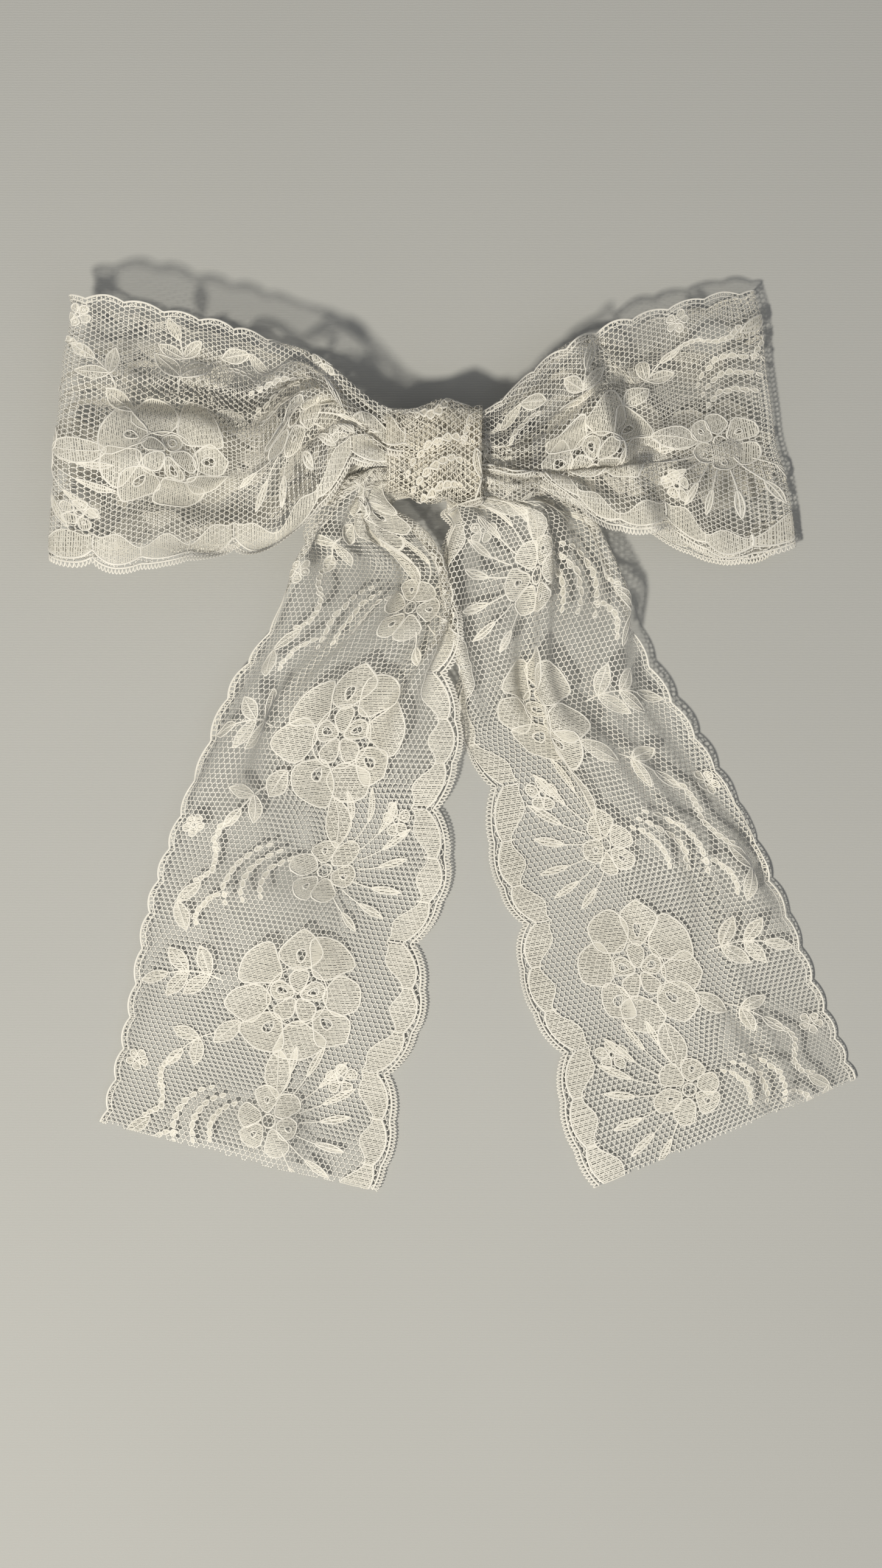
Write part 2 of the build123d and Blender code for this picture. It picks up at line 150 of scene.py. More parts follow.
def stroke(flat, line, width=CORD_WIDTH, height=CORD_HEIGHT, closed=False, lift=0.0, kind=CORD_KIND):
    """A raised thread along a line of (along, across) points: a low ridge, or flat if height is 0."""
    line = np.asarray(line, float)
    if closed:
        ahead, behind = np.roll(line, -1, 0), np.roll(line, 1, 0)
    else:
        ahead = np.vstack([line[1:], line[-1:]])
        behind = np.vstack([line[:1], line[:-1]])
    way = ahead - behind
    way /= np.maximum(np.linalg.norm(way, axis=1, keepdims=True), 1e-9)
    side = np.stack([-way[:, 1], way[:, 0]], 1) * width / 2
    n = len(line)
    steps = np.arange(n if closed else n - 1)
    after = (steps + 1) % n
    if height:
        rows = [line - side, line, line + side]
        heights = [lift, lift + height, lift]
    else:
        rows = [line - side, line + side]
        heights = [lift, lift]
    points = np.stack([np.column_stack([r, np.full(n, h)]) for r, h in zip(rows, heights)], 1)
    wide = len(rows)
    faces = [
        np.stack([steps * wide + k, steps * wide + k + 1, after * wide + k + 1, after * wide + k], 1)
        for k in range(wide - 1)
    ]
    flat.add(points, np.concatenate(faces), kind)


def hatch(flat, outlines, slant=0.0, pitch=HATCH_PITCH, lift=0.0):
    """Fine parallel threads inside closed outlines; an outline inside another is left open."""
    c, s = math.cos(slant), math.sin(slant)
    turn = np.array([[c, s], [-s, c]])
    start = np.concatenate([o @ turn.T for o in outlines])
    end = np.concatenate([np.roll(o, -1, 0) @ turn.T for o in outlines])
    first = math.ceil(start[:, 0].min() / pitch)
    last = math.floor(start[:, 0].max() / pitch)
    for k in range(first, last + 1):
        at = k * pitch + 1e-6
        crossing = (start[:, 0] <= at) != (end[:, 0] <= at)
        a, b = start[crossing], end[crossing]
        across = np.sort(a[:, 1] + (at - a[:, 0]) * (b[:, 1] - a[:, 1]) / (b[:, 0] - a[:, 0]))
        for low, high in zip(across[0::2], across[1::2]):
            if high - low < HATCH_SHORTEST:
                continue
            parts = max(1, math.ceil((high - low) / HATCH_STEP))
            y = np.linspace(low, high, parts + 1)
            wobble = flat.random.uniform(-HATCH_WOBBLE, HATCH_WOBBLE, parts + 1)
            line = np.stack([at + wobble, y], 1) @ turn
            stroke(flat, line, HATCH_THREAD, 0.0, lift=lift, kind=FILL_KIND)


def net(flat, length, low, high):
    """A hexagonal net between two edges, each a function of the distance along."""
    side = NET / math.sqrt(3)
    rows = int(length / (1.5 * side)) + 3
    columns = int(WIDTH / NET) + 3
    row, column = np.meshgrid(np.arange(rows), np.arange(columns), indexing="ij")
    centre = np.stack([1.5 * side * (row - 1.0), NET * (column - 1 + 0.5 * (row % 2))], -1)
    away = np.array([[1.0, 0.0], [-0.5, math.sqrt(0.75)], [-0.5, -math.sqrt(0.75)]])
    corner = NET_THREAD / math.sqrt(3)
    ends = []
    for sign in (1.0, -1.0):
        node = centre + np.array([sign * side, 0.0])
        node = node + flat.random.uniform(-NET_WOBBLE, NET_WOBBLE, node.shape)
        keep = (node[..., 0] > 0.0) & (node[..., 0] < length)
        keep &= (node[..., 1] > low(node[..., 0])) & (node[..., 1] < high(node[..., 0]))
        corners = node[:, :, None, :] - sign * away * corner
        ends.append((keep, corners))
    (keep_a, corners_a), (keep_b, corners_b) = ends
    size = rows * columns
    points = np.concatenate([corners_a.reshape(-1, 2), corners_b.reshape(-1, 2)])
    points = np.column_stack([points, np.zeros(len(points))])
    base_a = (row * columns + column) * 3
    base_b = base_a + size * 3
    faces = []
    for base, keep in ((base_a, keep_a), (base_b, keep_b)):
        b = base[keep]
        faces.append(np.stack([b, b + 1, b + 2, b + 2], 1))
    joined = ((2, 0 * row), (1, row % 2), (1, row % 2 - 1))
    for k, (row_step, column_step) in enumerate(joined):
        r, c = row + row_step, column + column_step
        inside = (r < rows) & (c >= 0) & (c < columns)
        r, c = np.where(inside, r, 0), np.where(inside, c, 0)
        there = keep_a & inside & keep_b[r, c]
        a, b = base_a[there], base_b[r, c][there]
        i, j = (k + 1) % 3, (k + 2) % 3
        faces.append(np.stack([a + i, a + j, b + i, b + j], 1))
    faces = np.concatenate(faces)
    used, faces = np.unique(faces, return_inverse=True)
    faces = faces.reshape(-1, 4)
    triangles = faces[:, 2] == faces[:, 3]
    flat.add(points[used], faces[~triangles], NET_KIND)
    flat.faces.extend((faces[triangles][:, :3] + flat.count - len(used)).tolist())
    flat.kinds.extend([NET_KIND] * int(triangles.sum()))


# ---- motifs --------------------------------------------------------------------------
def petal(centre, angle, near, far, half, tip=0.0, ripple=0.0, n=22):
    """Outline of a petal that points along angle: round, or pointed as tip goes to 1."""
    turn = np.linspace(0, 2 * math.pi, n, endpoint=False)
    x = (1 - np.cos(turn)) / 2
    wide = half * np.sin(turn) * (0.5 + 0.6 * x) * (1 - tip * x**3)
    wide *= 1 + ripple * np.sin(3 * turn + 40 * angle)
    reach = near + (far - near) * x
    c, s = math.cos(angle), math.sin(angle)
    return np.stack([centre[0] + reach * c - wide * s, centre[1] + reach * s + wide * c], 1)


def circle(centre, radius, n=14):
    turn = np.linspace(0, 2 * math.pi, n, endpoint=False)
    return np.stack([centre[0] + radius * np.cos(turn), centre[1] + radius * np.sin(turn)], 1)


def filled(flat, outlines, slant=0.0, cord=CORD_WIDTH, lift=0.0):
    hatch(flat, outlines, slant, lift=lift)
    for outline in outlines:
        stroke(flat, outline, cord, closed=True, lift=lift)


def rose(flat, centre, radius, turn):
    """A full-blown rose: broad petals, some pointed, round a heart of small open ones."""
    tips = (0.1, 0.75, 0.2, 0.0, 0.8, 0.1, 0.65, 0.0)
    for i, tip in enumerate(tips):
        angle = turn + 2 * math.pi * i / len(tips) + flat.random.uniform(-0.09, 0.09)
        reach = radius * flat.random.uniform(0.92, 1.1)
        half = radius * flat.random.uniform(0.38, 0.46)
        outlines = [petal(centre, angle, 0.38 * radius, reach, half, tip, 0.16)]
        if i % 3 == 1:
            outlines.append(petal(centre, angle, 0.5 * radius, 0.72 * radius, 0.09 * radius, n=10))
        filled(flat, outlines, 0.12 * math.sin(angle), lift=0.04 + 0.08 * (i % 2))
    for i in range(5):
        angle = turn + 0.5 + 2 * math.pi * i / 5
        outlines = [petal(centre, angle, 0.05 * radius, 0.42 * radius, 0.17 * radius, 0.1, 0.1, 16)]
        if i % 2:
            outlines.append(petal(centre, angle, 0.15 * radius, 0.33 * radius, 0.07 * radius, n=10))
        filled(flat, outlines, 0.2 * math.cos(angle), lift=0.1)
    stroke(flat, circle(centre, 0.45 * radius, 26), 0.36, closed=True, lift=0.12)
    leaf(flat, (centre[0] + 0.85 * radius, centre[1] - 0.1 * radius), 0.15, 0.75 * radius, 0.28 * radius)
    leaf(flat, (centre[0] + 0.5 * radius, centre[1] - 0.75 * radius), -0.7, 0.5 * radius, 0.2 * radius)


def small_flower(flat, centre, radius, turn, count=6):
    """A flower of separate petals, every other one open in the middle."""
    for i in range(count):
        angle = turn + 2 * math.pi * i / count + flat.random.uniform(-0.1, 0.1)
        reach = radius * flat.random.uniform(0.85, 1.1)
        outlines = [petal(centre, angle, 0.25 * radius, reach, 0.42 * radius, 0.15, 0.15, 16)]
        if i % 2:
            outlines.append(petal(centre, angle, 0.5 * radius, 0.72 * radius, 0.1 * radius, n=8))
        filled(flat, outlines, 0.2 * math.sin(angle), 0.38, lift=0.05)
    stroke(flat, circle(centre, 0.2 * radius, 10), 0.45, closed=True, lift=0.12)


def leaf(flat, base, angle, length, half, vein=True):
    filled(flat, [petal(base, angle, 0.0, length, half, tip=0.85, n=18)], 0.15, 0.36, lift=0.03)
    if vein:
        way = np.array([math.cos(angle), math.sin(angle)])
        line = np.array(base) + way * length * np.linspace(0.02, 0.85, 5)[:, None]
        stroke(flat, line, 0.3, 0.18, lift=0.08)


def curve(start, angle, length, bend, n=16):
    """A line from start whose direction turns steadily by bend."""
    way = angle + bend * np.linspace(0, 1, n)
    steps = np.stack([np.cos(way), np.sin(way)], 1) * length / (n - 1)
    return np.array(start) + np.vstack([[0.0, 0.0], np.cumsum(steps[:-1], 0)])


def leaf_spray(flat, start, angle, length, bend, pairs, size):
    """A curved stem with pairs of leaves that shorten towards its tip."""
    stem = curve(start, angle, length, bend)
    stroke(flat, stem, 0.4)
    for i in range(pairs):
        at = (i + 0.8) / (pairs + 0.6)
        k = int(at * (len(stem) - 1))
        along = angle + bend * at
        leaf_size = size * (1.1 - 0.4 * at) * flat.random.uniform(0.9, 1.1)
        for side in (-1, 1):
            leaf(flat, stem[k], along + side * 0.9, leaf_size, leaf_size * 0.33)
    leaf(flat, stem[-1], angle + bend, size * 0.8, size * 0.24)


def bead_spray(flat, start, angle, length, bend, beads):
    """A curved row of little solid beads that grow and shrink along it."""
    stem = curve(start, angle, length, bend, beads)
    for i, at in enumerate(stem):
        size = 0.6 + 0.55 * math.sin(math.pi * (i + 0.7) / (beads + 0.4))
        way = angle + bend * i / (beads - 1) + flat.random.uniform(-0.25, 0.25)
        outline = petal(at, way, 0.0, 2.1 * size, 0.75 * size, ripple=0.2, n=10)
        hatch(flat, [outline], way, 0.34, lift=0.05)
        stroke(flat, outline, 0.36, closed=True, lift=0.06)


def fern(flat, centre, near, angles, lengths):
    """Slender curved leaves that fan out from a flower."""
    for angle, length in zip(angles, lengths):
        way = np.array([math.cos(angle), math.sin(angle)])
        base = np.array(centre) + way * near
        stem = curve(base, angle, length, 0.35, 10)
        stroke(flat, stem, 0.36)
        leaf(flat, stem[4], angle + 0.2, length * 0.6, 1.25, vein=False)


def border(flat, length):
    """The bold edge: solid lobes round an open medallion, finished with a looped braid."""
    along = np.arange(0.0, length + 0.01, 0.65)
    stroke(flat, np.stack([along, lobe_edge(along)], 1), 0.5, 0.3)
    stroke(flat, np.stack([along, medallion_edge(along)], 1), 0.3, 0.16)
    for i in range(int(length / BOLD_PITCH)):
        span = np.linspace(i * BOLD_PITCH + 0.4, (i + 1) * BOLD_PITCH - 0.4, 60)
        top = np.stack([span, lobe_edge(span)], 1)
        bottom = np.stack([span, medallion_edge(span)], 1)
        hatch(flat, [np.concatenate([top, bottom[::-1]])], lift=0.03)
    for i in range(1, int(length / LOBE_PITCH)):
        foot = i * LOBE_PITCH
        level = float(lobe_edge(foot))
        stroke(flat, [(foot, level), (foot + 0.1, level - 1.6), (foot - 0.1, level - 3.2)], 0.4, 0.3)
    fine = np.arange(0.0, length, BRAID_PITCH / 4)
    loops = BRAID * np.abs(np.sin(np.pi * fine / BRAID_PITCH)) ** 0.7
    stroke(flat, np.stack([fine, bold_edge(fine) - BRAID + loops], 1), 0.3, 0.2)
    stroke(flat, np.stack([along, bold_edge(along) - BRAID], 1), 0.45, 0.26)


def fine_border(flat, length):
    """The fine edge: a thin scalloped cord over short hatching."""
    along = np.arange(0.0, length + 0.01, 0.6)
    edge = np.stack([along, fine_edge(along)], 1)
    inner = np.stack([along, fine_edge(along) + FINE_BAND], 1)
    stroke(flat, edge, 0.5, 0.26)
    stroke(flat, inner, 0.26, 0.12)
    hatch(flat, [np.concatenate([edge, inner[::-1]])], pitch=1.1)


def motifs(flat, begin, finish):
    """The repeating flowers, leaves and sprays between two distances along the trim."""
    for i in range(math.floor(begin / REPEAT) - 1, math.ceil(finish / REPEAT) + 1):
        s = i * REPEAT
        bloom, flower = (s + 16.5, 43.0), (s + 49.5, 42.5)
        rose(flat, bloom, 17.0, 0.2)
        small_flower(flat, flower, 8.8, 0.4)
        fern(flat, flower, 8.0, (1.7, 2.0, 2.3, 2.6, 2.9), (13.0, 15.0, 16.0, 15.0, 12.0))
        fern(flat, flower, 8.0, (0.6, 0.95, 1.3), (11.0, 13.0, 13.0))
        for k in range(3):
            start = (flower[0] - 3.0 - 1.5 * k, flower[1] - 9.0 - 3.2 * k)
            bead_spray(flat, start, -1.1, 13.0 + 3.5 * k, 1.5, 7 + k)
        leaf_spray(flat, (s + 15.0, 24.0), -1.9, 15.0, 0.7, 2, 9.0)
        leaf_spray(flat, (s + 29.0, 25.0), -1.2, 10.0, 0.6, 1, 8.0)
        bead_spray(flat, (s + 37.0, 17.0), -1.2, 11.0, 1.9, 7)
        bead_spray(flat, (s + 45.5, 12.5), 0.7, 11.0, -1.9, 7)
        bead_spray(flat, (s + 58.0, 20.0), -1.4, 12.0, 1.7, 7)
        leaf(flat, (s + 62.0, 7.5), 0.5, 8.5, 2.6)
        leaf(flat, (s + 62.0, 7.5), 2.5, 8.0, 2.3)
        small_flower(flat, (s + 36.0, 58.5), 4.0, 0.8, 5)
        small_flower(flat, (s + 40.0, 5.8), 3.2, 0.1, 5)


# ---- shaping -------------------------------------------------------------------------
def smooth(knots, values, at):
    """Values at the knots, joined by a smooth curve that overshoots little."""
    knots, values = np.asarray(knots, float), np.asarray(values, float)
    slope = np.gradient(values, knots, axis=0)
    i = np.clip(np.searchsorted(knots, at, side="right") - 1, 0, len(knots) - 2)
    gap = knots[i + 1] - knots[i]
    u = np.clip((at - knots[i]) / gap, 0, 1)
    if values.ndim > 1:
        u, gap = u[:, None], gap[:, None]
    a, b = values[i], values[i + 1]
    ma, mb = slope[i] * gap, slope[i + 1] * gap
    return ((2 * u**3 - 3 * u**2 + 1) * a + (u**3 - 2 * u**2 + u) * ma
            + (-2 * u**3 + 3 * u**2) * b + (u**3 - u**2) * mb)


def unit(vectors):
    return vectors / np.maximum(np.linalg.norm(vectors, axis=-1, keepdims=True), 1e-9)


def turned_under(run, rise, hem):
    """Both long edges folded under by a share of the width."""
    folded = hem + (1 - 2 * hem) * np.clip((run - hem) / (1 - 2 * hem), 0, 1)
    under = np.clip(1 - run / hem, 0, 1) + np.clip(1 - (1 - run) / hem, 0, 1)
    back = hem * (np.clip(1 - run / hem, 0, 1) - np.clip(1 - (1 - run) / hem, 0, 1))
    place = (folded + back - hem) / (1 - 2 * hem)
    return place, rise - 0.7 * np.clip(under * 4, 0, 1)


class Draped:
    """A strip's surface. Each station gives the fine edge's place, the bold edge's place and the
    outward side; between the two edges the cloth keeps its width, so what is gathered is pleated.

    Distances are in mm along the strip, and shares are of its width from the fine edge.
    pleats: how many broad, middling and fine pleats fit across the width.
    stiff: (distance, half length) of stretches whose pleats are calmed, such as a fold.
    creases: (share, drift per mm, size, depth, begin, finish) of valleys that run along.
    buckles: (distance, slant, size, height) of ridges that run across.
    bound: (distance, half height) of ends where nothing stands out further than that.
    ripple: height of small gathers across a wrap. hem: width folded under at each edge.
    floor: no point lies lower than this."""

    def __init__(self, stations, width, seed, pleats=(5.5, 3.2, 1.4), stiff=(), creases=(), buckles=(),
                 ripple=0.0, hem=0.0, bound=(), floor=None):
        knots = [s[0] for s in stations]
        along = np.arange(knots[0], knots[-1] + 0.5, 1.0)
        across = np.linspace(0.0, 1.0, 2 * int(width) + 1)
        self.steps = (1.0, width * (across[1] - across[0]))
        fine, bold, out = (smooth(knots, [s[k] for s in stations], along) for k in (1, 2, 3))
        reach = bold - fine
        wide = np.linalg.norm(reach, axis=1, keepdims=True)
        way = reach / wide
        out = unit(out - (out * way).sum(1, keepdims=True) * way)
        random = np.random.default_rng(seed)
        gathered = np.clip(wide[:, 0] / (width - 2 * hem), 0.1, 0.995)
        lean = self.pleated(along, across, gathered, pleats, random)
        for centre, half in stiff:
            lean *= 1 - 0.85 * np.exp(-(((along - centre) / half) ** 2))[:, None]
        run = np.cumsum(np.cos(lean), 1) - np.cos(lean[:, :1])
        rise = np.cumsum(np.sin(lean), 1) - np.sin(lean[:, :1])
        run = run / run[:, -1:]
        rise = (rise - across * rise[:, -1:]) * self.steps[1]
        if hem:
            run, rise = turned_under(run, rise, hem / width)
        for centre, drift, size, depth, begin, finish in creases:
            fade = np.clip((along - begin) / 10, 0, 1) * np.clip((finish - along) / 25, 0, 1)
            d = (across[None, :] - centre - drift * along[:, None]) / size
            rise += depth * fade[:, None] * (0.7 * np.exp(-((d + 1.7) ** 2)) - np.exp(-(d**2)))
        for begin, slope, size, height in buckles:
            d = (along[:, None] - begin - slope * across[None, :]) / size
            rise += height * np.exp(-(d**2)) - 0.7 * height * np.exp(-((d - 1.9) ** 2))
        for end, half in bound:
            room = half + 0.3 * np.maximum(0.0, np.abs(along - end) - 14.0)[:, None]
            rise = room * np.tanh(rise / room)
        if ripple:
            phase = random.uniform(0, 6, 3)
            swing = np.sin(2 * np.pi * along[:, None] / 6.5 + 1.2 * np.sin(5 * across + phase[0]) + phase[1])
            rise += ripple * swing * (0.6 + 0.4 * np.sin(9 * across + phase[2]))
        place = fine[:, None] + (way * wide)[:, None] * run[..., None] + out[:, None] * rise[..., None]
        if floor is not None:
            place[..., 2] = floor + 0.6 * np.logaddexp(0, (place[..., 2] - floor) / 0.6)
        along_way, across_way = np.gradient(place, axis=(0, 1))
        normal = unit(np.cross(across_way, along_way))
        flip = np.sign((normal * out[:, None]).sum(2).mean(1, keepdims=True))[..., None]
        self.place = place
        self.normal = normal * np.where(flip == 0, 1, flip)

    @staticmethod
    def pleated(along, across, gathered, pleats, random):
        """The cloth's lean at each place, so that a full width ends as wide as it is gathered."""
        tight = 1 - gathered
        weights = (1.2 * tight**0.9, 0.25 + 0.5 * tight, 0.6 * gathered**2 + 0.05)
        wave = np.zeros((len(along), len(across)))
        for count, weight in zip(pleats, weights):
            phase, drift, wander = random.uniform(0, 1), random.uniform(-0.3, 0.3), random.uniform(0, 6)
            turn = count * across[None, :] + phase + drift * along[:, None] / 60.0
            turn += 0.18 * np.sin(2 * np.pi * across[None, :] * 1.7 + along[:, None] / 14.0 + wander)
            strong = 1 + 0.35 * np.sin(along[:, None] / 11.0 + wander + 5 * across[None, :])
            wave += weight[:, None] * strong * np.sin(2 * np.pi * turn)
        low, high = np.zeros(len(along)), np.full(len(along), 4.0)
        for _ in range(24):
            middle = (low + high) / 2
            loose = np.cos(np.clip(middle[:, None] * wave, -2.4, 2.4)).mean(1) > gathered
            low, high = np.where(loose, middle, low), np.where(loose, high, middle)
        return np.clip(low[:, None] * wave, -2.4, 2.4)

    def carry(self, points):
        """Flat (along, across, height) points, carried onto the surface, in metres."""
        rows, columns = self.place.shape[:2]
        i = np.clip(points[:, 0] / self.steps[0], 0, rows - 1.001)
        j = np.clip(points[:, 1] / self.steps[1], 0, columns - 1.001)
        r, c = i.astype(int), j.astype(int)
        u, v = (i - r)[:, None], (j - c)[:, None]
        found = []
        for grid in (self.place, self.normal):
            near = grid[r, c] * (1 - v) + grid[r, c + 1] * v
            far = grid[r + 1, c] * (1 - v) + grid[r + 1, c + 1] * v
            found.append(near * (1 - u) + far * u)
        return (found[0] + found[1] * points[:, 2:]) * MM


def clip(flat, length, low, high):
    """Drops the faces whose points leave the strip."""
    points = np.concatenate(flat.points)
    inside = (points[:, 0] >= 0) & (points[:, 0] <= length)
    inside &= (points[:, 1] >= low(points[:, 0])) & (points[:, 1] <= high(points[:, 0]))
    kept = [i for i, face in enumerate(flat.faces) if inside[face].all()]
    flat.faces = [flat.faces[i] for i in kept]
    flat.kinds = [flat.kinds[i] for i in kept]
    flat.points = [points]


def lace_piece(name, layers, materials):
    """One object from flat strips and the surfaces that they take."""
    points, faces, kinds, count = [], [], [], 0
    for flat, draped in layers:
        flat_points = np.concatenate(flat.points)
        used = np.unique(np.concatenate([np.array(f) for f in flat.faces]))
        renumber = np.zeros(len(flat_points), int)
        renumber[used] = np.arange(len(used)) + count
        points.append(draped.carry(flat_points[used]))
        faces.extend(renumber[f].tolist() for f in flat.faces)
        kinds.extend(flat.kinds)
        count += len(used)
    mesh = bpy.data.meshes.new(name)
    mesh.from_pydata(np.concatenate(points).tolist(), [], faces)
    mesh.polygons.foreach_set("material_index", kinds)
    mesh.polygons.foreach_set("use_smooth", [True] * len(faces))
    for material in materials:
        mesh.materials.append(material)
    mesh.update()
    piece = bpy.data.objects.new(name, mesh)
    bpy.context.scene.collection.objects.link(piece)
    return piece


def trim(length, phase, seed):
    """A full-width strip of the trim, cut so that the pattern starts at phase."""
    flat = Flat(seed)
    motifs(flat, phase, phase + length)
    border(flat, phase + length + REPEAT)
    fine_border(flat, phase + length + REPEAT)
    flat.points = [p - np.array([phase, 0.0, 0.0]) for p in flat.points]
    clip(flat, length, lambda s: fine_edge(s + phase) - 0.6, lambda s: bold_edge(s + phase) + 0.5)
    net(flat, length, lambda s: fine_edge(s + phase), lambda s: bold_edge(s + phase) - BRAID)
    return flat


# ---- materials -----------------------------------------------------------------------
def nodes_of(name):
    material = bpy.data.materials.new(name)
    material.use_nodes = True
    tree = material.node_tree
    return material, tree.nodes, tree.links, tree.nodes["Principled BSDF"]


def noise(nodes, links, scale, detail=3.0):
    place = nodes.new("ShaderNodeTexCoord")
    texture = nodes.new("ShaderNodeTexNoise")
    texture.inputs["Scale"].default_value = scale
    texture.inputs["Detail"].default_value = detail
    links.new(place.outputs["Object"], texture.inputs["Vector"])
    return texture


def ramp(nodes, links, source, stops):
    found = nodes.new("ShaderNodeValToRGB")
    elements = found.color_ramp.elements
    for element, (at, colour) in zip(elements, stops):
        element.position = at
        element.color = (*colour, 1.0)
    links.new(source, found.inputs["Fac"])
    return found


def thread_material(name, dark, light, roughness, sheen):
    """Cotton and nylon thread: ivory that varies a little, with a twist in its bump."""
    material, nodes, links, shader = nodes_of(name)
    cloud = noise(nodes, links, 60.0)
    tint = ramp(nodes, links, cloud.outputs["Fac"], ((0.3, dark), (0.7, light)))
    links.new(tint.outputs["Color"], shader.inputs["Base Color"])
    twist = noise(nodes, links, 2500.0, 1.0)
    bump = nodes.new("ShaderNodeBump")
    bump.inputs["Strength"].default_value = 0.35
    bump.inputs["Distance"].default_value = 0.0001
    links.new(twist.outputs["Fac"], bump.inputs["Height"])
    links.new(bump.outputs["Normal"], shader.inputs["Normal"])
    shader.inputs["Roughness"].default_value = roughness
    shader.inputs["Sheen Weight"].default_value = sheen
    shader.inputs["Specular IOR Level"].default_value = 0.35
    return material


def metal_material(name, colour, roughness):
    """Nickel plate: fine brushing, slightly worn in patches."""
    material, nodes, links, shader = nodes_of(name)
    place = nodes.new("ShaderNodeTexCoord")
    stretch = nodes.new("ShaderNodeMapping")
    stretch.inputs["Scale"].default_value = (60.0, 4000.0, 4000.0)
    brushing = nodes.new("ShaderNodeTexNoise")
    brushing.inputs["Scale"].default_value = 1.0
    links.new(place.outputs["Object"], stretch.inputs["Vector"])
    links.new(stretch.outputs["Vector"], brushing.inputs["Vector"])
    tone = [c * 0.8 for c in colour]
    tint = ramp(nodes, links, brushing.outputs["Fac"], ((0.3, tone), (0.75, colour)))
    links.new(tint.outputs["Color"], shader.inputs["Base Color"])
    wear = noise(nodes, links, 250.0)
    spread = nodes.new("ShaderNodeMapRange")
    spread.inputs["To Min"].default_value = roughness - 0.08
    spread.inputs["To Max"].default_value = roughness + 0.12
    links.new(wear.outputs["Fac"], spread.inputs["Value"])
    links.new(spread.outputs["Result"], shader.inputs["Roughness"])
    shader.inputs["Metallic"].default_value = 1.0
    return material


IVORY = (
    thread_material("net_thread", (0.80, 0.77, 0.69), (0.88, 0.85, 0.77), 0.55, 0.3),
    # The fill thread is darker than the net and cord threads. This is painted shade that stands in for the
    # shade the dense lace casts on itself. The noise between its two tones is the thread's own uneven
    # colour.
    thread_material("fill_thread", (0.70, 0.67, 0.58), (0.81, 0.78, 0.69), 0.5, 0.3),
    thread_material("cord_thread", (0.84, 0.81, 0.73), (0.93, 0.90, 0.82), 0.45, 0.3),
)
# The knot's copies of the threads are warmer and yellower than the rest: a painted glow that stands in for
# light bounced between the knot's many layers. Their fill is also darker than their net, which is painted
# shade.
KNOT_GLOW = (
    thread_material("knot_net_glow", (0.84, 0.79, 0.67), (0.91, 0.86, 0.75), 0.55, 0.3),
    thread_material("knot_fill_glow", (0.78, 0.73, 0.61), (0.88, 0.83, 0.71), 0.5, 0.3),
    thread_material("knot_cord_glow", (0.88, 0.84, 0.74), (0.95, 0.91, 0.82), 0.45, 0.3),
)

# ---- the strips ----------------------------------------------------------------------
LEFT = (-1.0, 0.0, 0.0)
RIGHT = (1.0, 0.0, 0.0)

LOOP_LEFT = [
    (-12, (10, 5.4, 17.2), (10, -6.0, 17.4), UP),
    (0, (-2, 5.6, 17.6), (-2, -6.0, 17.8), UP),
    (12, (-13.5, 8.8, 18.6), (-13.5, -4.5, 18.0), UP),
    (30, (-29, 20.0, 20.2), (-27, -15.0, 17.5), UP),
    (50, (-46, 29.0, 22.0), (-46, -27.5, 19.5), UP),
    (70, (-64, 33.5, 22.8), (-66, -29.5, 20.5), UP),
    (88, (-82, 37.5, 22.0), (-86, -33.5, 19.5), UP),
    (97, (-90.5, 38.0, 16.5), (-95.5, -28.5, 14.5), LEFT),
    (106, (-83, 36.0, 10.8), (-87, -27.0, 9.5), DOWN),
    (124, (-66, 32.0, 9.0), (-68, -27.0, 8.0), DOWN),
    (144, (-46, 26.5, 10.0), (-46, -24.0, 9.0), DOWN),
    (164, (-29, 18.0, 12.0), (-27, -13.0, 11.0), DOWN),
    (182, (-13.5, 8.8, 14.5), (-13.5, -4.0, 14.0), DOWN),
    (194, (-2, 5.6, 15.0), (-2, -5.5, 15.0), DOWN),
    (206, (10, 5.4, 15.0), (10, -5.5, 15.0), DOWN),
]
LOOP_RIGHT = [
    (-12, (-10, 5.4, 16.8), (-10, -6.0, 17.0), UP),
    (0, (2, 5.6, 17.2), (2, -6.0, 17.4), UP),
    (12, (12.8, 9.4, 18.2), (12.8, -5.5, 17.5), UP),
    (30, (27.5, 22.5, 18.0), (29, -11.5, 15.5), UP),
    (46, (41, 30.5, 15.8), (44, -20.5, 12.8), UP),
    (62, (56, 35.5, 12.2), (61, -25.0, 9.6), UP),
    (80, (73, 40.0, 8.6), (78, -28.0, 7.4), UP),
    (88, (79.5, 40.5, 5.4), (90.5, -26.0, 4.4), RIGHT),
    (96, (73, 38.5, 2.6), (84, -28.5, 1.6), DOWN),
    (114, (56, 34.0, 3.4), (64, -26.5, 2.4), DOWN),
    (132, (40, 28.0, 7.8), (45, -19.0, 7.0), DOWN),
    (150, (26, 20.0, 11.4), (28, -10.5, 10.6), DOWN),
    (166, (12.8, 9.2, 14.5), (12.8, -5.0, 14.0), DOWN),
    (178, (2, 5.6, 15.0), (2, -5.5, 15.0), DOWN),
    (190, (-10, 5.4, 14.6), (-10, -5.5, 14.6), DOWN),
]
